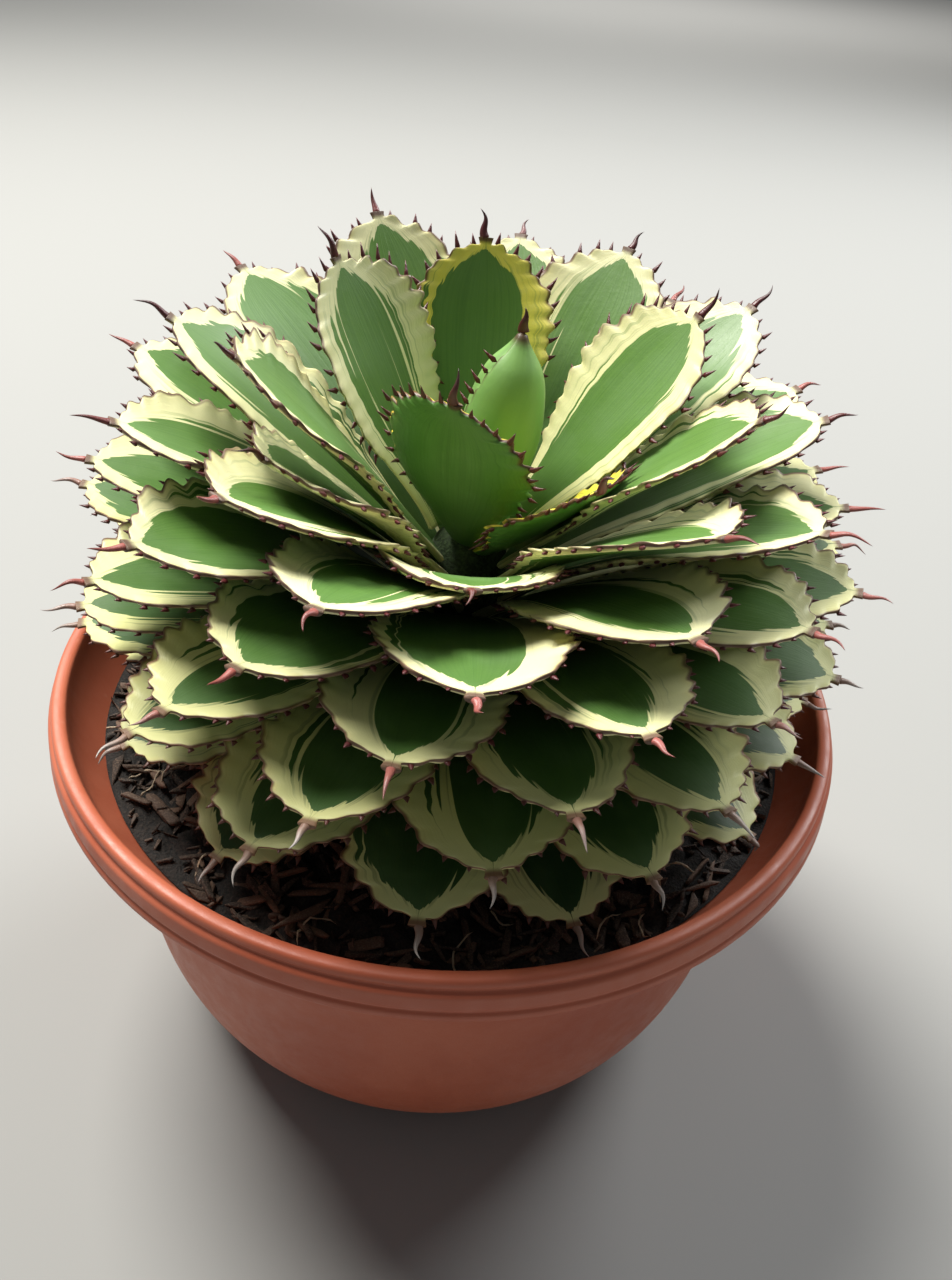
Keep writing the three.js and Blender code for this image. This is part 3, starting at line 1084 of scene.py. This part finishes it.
def widthShare(along):
    growing = leaf["neckShare"] + (1 - leaf["neckShare"]) * smooth(along / leaf["widestAt"])
    closing = max((along - leaf["widestAt"]) / (1 - leaf["widestAt"]), 0)
    return growing * (1 - closing ** leaf["tipBluntness"]) ** leaf["tipRoundness"]


def bumpAt(plan, along, right):
    run = runAt(plan, min(along, 1))
    height = sum(bump["size"] * smooth(1 - abs(run - bump["middle"]) / bump["span"])
                 for bump in plan["bumps"][right])
    return leaf["bumpHeight"] * min(height, max(leaf["bumpSizes"]))


def toothRoot(plan, along, right):
    # 1 where a tooth grows from the margin, so that the blade takes its colour there
    run = runAt(plan, along)
    return smooth(max(1 - abs(run - bump["middle"]) / (leaf["toothRoot"] * bump["span"])
                      for bump in plan["bumps"][right]))


def bladeHalf(plan, along):
    blade = plan["halfWidth"] * widthShare(min(along / leaf["bladeEnd"], 1))
    swell = leaf["tipSwell"] * max(1 - (1 - along) / leaf["tipLength"], 0)
    return max(blade, leaf["tipHalfWidth"] * (1 + swell))


def outwardAt(plan, along):
    # the way out of the margin, as shares across and along the leaf
    step = 0.004
    narrowing = bladeHalf(plan, along - step) - bladeHalf(plan, min(along + step, 1))
    length = 2 * step * (plan["reach"] - plan["start"])
    return Vector((length, narrowing)).normalized()


def leafRow(plan, along):
    # the place and the three ways of the leaf at a share of its length
    distance = mix(plan["start"], plan["reach"], along)
    polar = plan["polar"] * (1 - plan["clasp"] * max(1 - along, 0))
    way = rosetteWay(polar, plan["turn"])
    across = Vector((-math.sin(plan["turn"]), math.cos(plan["turn"]), 0))
    across = (across - way * across.dot(way)).normalized()
    rise = way.cross(across)
    twist = plan["twist"] * min(along, 1)
    bow = 4 * plan["arch"] * along * (1 - along)
    origin = rosettePoint(distance, polar, plan["turn"]) + rise * bow
    turned = across * math.cos(twist) + rise * math.sin(twist)
    return origin, turned, rise, way


def clearOfBowl(point):
    point.z = max(point.z, soil["height"] + soil["relief"] + leaf["soilGap"])
    edge = bowl["rimEdgeHeight"]
    if point.z < edge + leaf["rimReach"]:
        holdInside(point, innerWallAt(min(point.z, edge + bowl["lip"])) - leaf["wallGap"])
    return point


def leafPoint(plan, row, along, sideways, depth, ahead=0):
    origin, across, rise, way = row
    spread = sideways / plan["halfWidth"]
    cup = leaf["gutter"] * widthShare(min(along, 1)) * min(spread ** 2, leaf["gutterLimit"])
    phase = plan["wavePhase"] + leaf["waveTurn"] * along + (leaf["waveShift"] if sideways > 0 else 0)
    wave = leaf["wave"] * math.sin(phase) * min(abs(spread), 1) ** 3
    return clearOfBowl(origin + across * sideways + rise * (cup + wave - depth) + way * ahead)


def leafLayers(bm):
    return [bm.verts.layers.float_vector[name] for name in leafMarks]


def addBlade(bm, plan):
    made = addCopy(bm, tubes["blade"])
    place, growth = leafLayers(bm)
    rows = {}
    for vertex in made:
        around, step = vertex[place].xy
        key = round(step * leaf["rows"])
        if key not in rows:
            along = 1 - (1 - step) ** leaf["rowCrowding"]
            shapes = [(bumpAt(plan, along, right), toothRoot(plan, along, right)) for right in (False, True)]
            rows[key] = (along, leafRow(plan, along), bladeHalf(plan, along), outwardAt(plan, along), shapes)
        along, row, half, outward, shapes = rows[key]
        angle = math.tau * (around - 0.5)
        top = angle > 0
        thick = mix(leaf["thickness"], leaf["tipThickness"], along)
        atEnd = key in (0, leaf["rows"])
        share = 0 if atEnd else math.cos(angle)
        side = 1 if share > 0 else -1
        edge = abs(share)
        bump, root = shapes[share > 0]
        # the bumps swell both faces near the margin, and push the margin outwards
        swell = leaf["bumpSwell"] * bump / leaf["bumpHeight"]
        swell *= smooth((edge - leaf["swellFrom"]) / leaf["swellSpan"])
        body = (thick + 2 * swell) * (1 - edge ** leaf["edgePower"]) ** 0.5
        depth = leaf["marginDepth"] * edge ** leaf["marginPower"] - swell + (0 if top else body)
        if atEnd:
            depth = 0.5 * thick
        push = bump * smooth((edge - leaf["pushFrom"]) / (1 - leaf["pushFrom"]))
        vertex.co = leafPoint(plan, row, along, share * half + side * outward.x * push, depth, outward.y * push)
        vertex[place] = (share, along, 1 if top else -1)
        root *= smooth((edge - leaf["rootFrom"]) / leaf["rootSpan"])
        vertex[growth] = (plan["age"], plan["seed"], root)


def toothPath(root, heading, hook, length):
    return lambda share: root + heading * (length * share) + hook * (0.5 * length * share ** 2)


def addHorn(bm, plan, kind, path, width, upward):
    # a tapered, closed tooth or spine along path(share), which starts inside what it grows from
    made = addCopy(bm, tubes[kind])
    place, growth = leafLayers(bm)
    rings = horn[f"{kind}Rings"]
    middles = [path(i / rings) for i in range(rings + 1)]
    for vertex in made:
        around, along = vertex[place].xy
        key = round(along * rings)
        ahead = middles[min(key + 1, rings)] - middles[max(key - 1, 0)]
        aside = ahead.cross(upward).normalized()
        above = aside.cross(ahead).normalized()
        taper = (1 - along) ** horn["taper"] if key else 0
        angle = math.tau * around
        vertex.co = middles[key] + aside * (0.5 * width * taper * math.cos(angle))
        vertex.co += above * (0.5 * width * horn[f"{kind}Flat"] * taper * math.sin(angle))
        vertex[place] = (1 if kind == "tooth" else 0, along, 0)
        vertex[growth] = (plan["age"], plan["seed"], 0)


def addTeeth(bm, plan):
    chance = plan["chance"]
    length = mix(horn["oldTooth"], horn["youngTooth"], math.exp(-plan["index"] / horn["toothAging"]))
    for right in (False, True):
        side = 1 if right else -1
        for bump in plan["bumps"][right]:
            along, full = bump["along"], min(bump["size"], 1)
            row = leafRow(plan, along)
            across, rise, way = row[1:]
            outward = outwardAt(plan, along)
            push = bumpAt(plan, along, right) - horn["toothSunk"]
            sideways = side * (bladeHalf(plan, along) + outward.x * push)
            root = leafPoint(plan, row, along, sideways, horn["toothDepth"], outward.y * push)
            longLeft, wideLeft = horn["smallTooth"]
            long = length * chance.uniform(*horn["toothLengths"]) * mix(longLeft, 1, full)
            lean = mix(*horn["lean"], smooth((along - horn["leanFrom"]) / horn["leanSpan"]))
            lean += chance.uniform(-horn["leanSpread"], horn["leanSpread"])
            heading = (across * side * outward.x + way * (outward.y + lean)).normalized()
            hook = way * chance.uniform(*horn["hook"]) * (1 if along > 0.5 else -1)
            hook += rise * chance.uniform(*horn["hookRise"])
            path = toothPath(root, heading, hook, long)
            addHorn(bm, plan, "tooth", path, horn["toothWidth"] * mix(wideLeft, 1, full), rise)


def addSpine(bm, plan):
    curl = plan["chance"].uniform(*horn["spineCurl"])
    root = horn["spineRoot"]

    def path(share):
        along = 1 + (share * (1 + root) - root) * plan["spine"] / plan["reach"]
        bend = plan["spineBend"] * (share ** 2 + horn["spineSway"] * math.sin(math.tau * share))
        lift = curl * math.sin(math.pi * share * horn["spineTurn"]) * share
        return leafPoint(plan, leafRow(plan, along), along, bend, horn["spineDepth"] - lift)

    width = horn["spineWidth"] * mix(1, horn["youngSpine"], math.exp(-plan["index"] / horn["spineAging"]))
    rise = leafRow(plan, 1)[2]
    addHorn(bm, plan, "spine", path, width, rise)


def budRadiusAt(along):
    # a smooth curve through the bud's radii
    radii = bud["radii"]
    place = along * (len(radii) - 1)
    i = min(int(place), len(radii) - 2)
    t = place - i
    four = (max(i - 1, 0), i, i + 1, min(i + 2, len(radii) - 1))
    before, here, there, after = (radii[j] for j in four)
    bend = (there - before) * t + (2 * before - 5 * here + 4 * there - after) * t ** 2
    return here + 0.5 * (bend + (3 * here - before - 3 * there + after) * t ** 3)


def budPoint(plan, along, turn, out):
    way = rosetteWay(plan["polar"], plan["turn"])
    aside = Vector((0, 1, 0)).cross(way).normalized()
    spoke = aside * math.cos(turn) + way.cross(aside) * math.sin(turn)
    middle = plantMiddle + way * mix(plan["start"], plan["reach"], along)
    return middle + spoke * (budRadiusAt(along) + out), middle, spoke, way


def budEdgeTurn(along):
    return math.radians(mix(bud["edgeTurn"][0], bud["edgeTurn"][1], along ** 2))


def addBud(bm, plan):
    # the youngest leaf, still rolled up, so that its free edge winds up the spindle
    made = addCopy(bm, tubes["bud"])
    place, growth = leafLayers(bm)
    for vertex in made:
        around, along = vertex[place].xy
        turn = math.tau * around
        past = ((turn - budEdgeTurn(along)) / math.tau) % 1
        nearTip = smooth((1 - along) / bud["tipFade"])
        proud = bud["overlap"] * (1 - past) * smooth(along / bud["footFade"]) * nearTip
        point, middle, spoke, way = budPoint(plan, along, turn, proud - bud["sunk"] * nearTip)
        vertex.co = middle if along in (0, 1) else point
        vertex[place] = (bud["across"][0] + bud["across"][1] * past, bud["along"] * along, 1)
        edge = smooth(1 - past / bud["hornyTurn"]) * smooth((along - bud["hornyFrom"]) / bud["hornySpan"])
        tip = smooth((along - bud["hornyTip"]) / bud["hornyTipSpan"])
        vertex[growth] = (plan["age"], plan["seed"], max(edge, tip))
    chance = plan["chance"]
    for i in range(bud["teeth"]):
        along = bud["teethFrom"] + bud["teethReach"] * i / bud["teeth"]
        turn = budEdgeTurn(along) + bud["toothTurn"]
        root, middle, spoke, way = budPoint(plan, along, turn, -bud["toothSunk"])
        heading = spoke * bud["toothOut"] - way.cross(spoke) + way * chance.uniform(*bud["toothAhead"])
        length = horn["youngTooth"] * chance.uniform(*bud["toothLengths"])
        path = toothPath(root, heading.normalized(), way * chance.uniform(*bud["toothHook"]), length)
        addHorn(bm, plan, "tooth", path, horn["toothWidth"] * bud["toothWidth"], spoke)


def startLeaves():
    bm = bmesh.new()
    for name in leafMarks:
        bm.verts.layers.float_vector.new(name)
    return bm


def addLeaf(bm, index, start):
    plan = leafPlan(index, start)
    if index == 0:
        addBud(bm, plan)
    else:
        addBlade(bm, plan)
        addTeeth(bm, plan)
    addSpine(bm, plan)


def closeLeaves(bm, name, skin, nodes):
    bmesh.ops.recalc_face_normals(bm, faces=bm.faces)
    finishPiece(bm, name, [skin, hornSkin, shadedStem], nodes)


def addStem(bm):
    # a dome that the leaves grow on, over a neck that stands in the soil's hole
    made = addCopy(bm, tubes["stem"])
    place, growth = leafLayers(bm)
    lowest = leafPolar(rosette["leafCount"] + 1)
    neckEnd = soil["height"] - soil["holeDepth"] + stem["neckGap"]
    neckTop = soil["height"] + stem["neckRise"]
    domeRings = stem["rings"] - stem["neckRings"]
    for vertex in made:
        around, along = vertex[place].xy
        key = round(along * stem["rings"])
        turn = math.tau * around
        if key <= domeRings:
            vertex.co = rosettePoint(stem["radius"], lowest * key / domeRings, turn)
        else:
            radius = 0 if key == stem["rings"] else stem["neckRadius"]
            x, y = plantMiddle.x + radius * math.cos(turn), plantMiddle.y + radius * math.sin(turn)
            vertex.co = (x, y, neckTop if key == domeRings + 1 else neckEnd)
        vertex[place] = (0, along, 0)
        vertex[growth] = (1, 0, 0)


def buildLeaves():
    lowFirst = rosette["leafCount"] - rosette["lowLeaves"]
    for index in range(rosette["heartLeaves"], lowFirst):
        bm = startLeaves()
        addLeaf(bm, index, leaf["start"])
        node = f"leaf_{index - rosette['heartLeaves'] + 1:02d}"
        closeLeaves(bm, f"agave_{node}", bladeSkin, [node])
    bm = startLeaves()
    addStem(bm)
    for index in range(lowFirst, rosette["leafCount"]):
        addLeaf(bm, index, leaf["lowStart"])
    closeLeaves(bm, "agave_stem_and_low_leaves", bladeSkin, ["stem_with_low_leaves"])
    bm = startLeaves()
    for index in range(rosette["heartLeaves"]):
        addLeaf(bm, index, leaf["start"])
    closeLeaves(bm, "agave_heart", youngSkin, ["heart"])


buildLeaves()
for tube in tubes.values():
    bpy.data.meshes.remove(tube)
print("leaves made")


# Camera, lights and floor

view = {
    "elevation": 37.042,
    "roll": 5.3686,
    "distance": 0.40373,
    "aside": -0.0277,  # shares of the distance
    "above": -0.0457,
    "aimHeight": 0.145,
    "lens": 28.125,
    "sensor": 36,
    "clipStart": 0.01,
}


def placeCamera():
    elevation, roll = math.radians(view["elevation"]), math.radians(view["roll"])
    ahead = Vector((0, math.cos(elevation), -math.sin(elevation)))
    right = Vector((1, 0, 0))
    up = right.cross(ahead)
    rolledRight = right * math.cos(roll) + up * math.sin(roll)
    rolledUp = up * math.cos(roll) - right * math.sin(roll)
    place = Vector((0, 0, view["aimHeight"])) - view["distance"] * (
        ahead + view["aside"] * rolledRight + view["above"] * rolledUp)
    data = bpy.data.cameras.new("photoCamera")
    data.lens = view["lens"]
    data.sensor_width = view["sensor"]
    data.clip_start = view["clipStart"]
    camera = bpy.data.objects.new("photoCamera", data)
    camera.matrix_world = Matrix((
        (rolledRight.x, rolledUp.x, -ahead.x, place.x),
        (rolledRight.y, rolledUp.y, -ahead.y, place.y),
        (rolledRight.z, rolledUp.z, -ahead.z, place.z),
        (0, 0, 0, 1),
    ))
    bpy.context.scene.collection.objects.link(camera)
    bpy.context.scene.camera = camera


lights = {
    "keyLight": {"place": (-1.25, 1.15, 2.90), "aim": (0, 0.02, 0.20), "size": 1.7, "power": 225,
                 "colour": (1.0, 0.98, 0.93)},
    "backLight": {"place": (1.60, 1.80, 2.00), "aim": (0, 0.02, 0.20), "size": 1.5, "power": 75,
                  "colour": (0.97, 0.99, 1.0)},
    # the last one faces away from the plant and lights only the floor behind it
    "farFloorLight": {"place": (0.4, 5.0, 3.0), "aim": (0.4, 8.0, 0), "size": 3.0, "power": 190,
                      "colour": (1.0, 0.98, 0.95)},
}


def addLight(name, lamp):
    data = bpy.data.lights.new(name, "AREA")
    data.shape = "DISK"
    data.size = lamp["size"]
    data.energy = lamp["power"]
    data.color = lamp["colour"]
    light = bpy.data.objects.new(name, data)
    light.location = lamp["place"]
    ahead = Vector(lamp["aim"]) - Vector(lamp["place"])
    light.rotation_euler = ahead.to_track_quat("-Z", "Y").to_euler()
    bpy.context.scene.collection.objects.link(light)


floor = {"size": 16, "colour": (0.30, 0.30, 0.29), "roughness": 0.8}


def layFloor():
    bm = bmesh.new()
    bmesh.ops.create_grid(bm, x_segments=1, y_segments=1, size=floor["size"] / 2)
    mesh = saveMesh(bm, "floor")
    material, tree, shader = newMaterial("paleFloor")
    put(tree, shader.inputs["Base Color"], floor["colour"])
    put(tree, shader.inputs["Roughness"], floor["roughness"])
    mesh.materials.append(material)
    ground = bpy.data.objects.new("floor", mesh)
    bpy.context.scene.collection.objects.link(ground)


sky = {"colour": (0.92, 0.96, 1.0), "strength": 0.15}


def lightWorld():
    world = bpy.data.worlds.new("softSky")
    world.use_nodes = True
    background = world.node_tree.nodes["Background"]
    put(world.node_tree, background.inputs["Color"], sky["colour"])
    put(world.node_tree, background.inputs["Strength"], sky["strength"])
    bpy.context.scene.world = world


placeCamera()
layFloor()
for name, lamp in lights.items():
    addLight(name, lamp)
lightWorld()
bpy.context.scene.view_settings.view_transform = "Standard"
print("stage set")
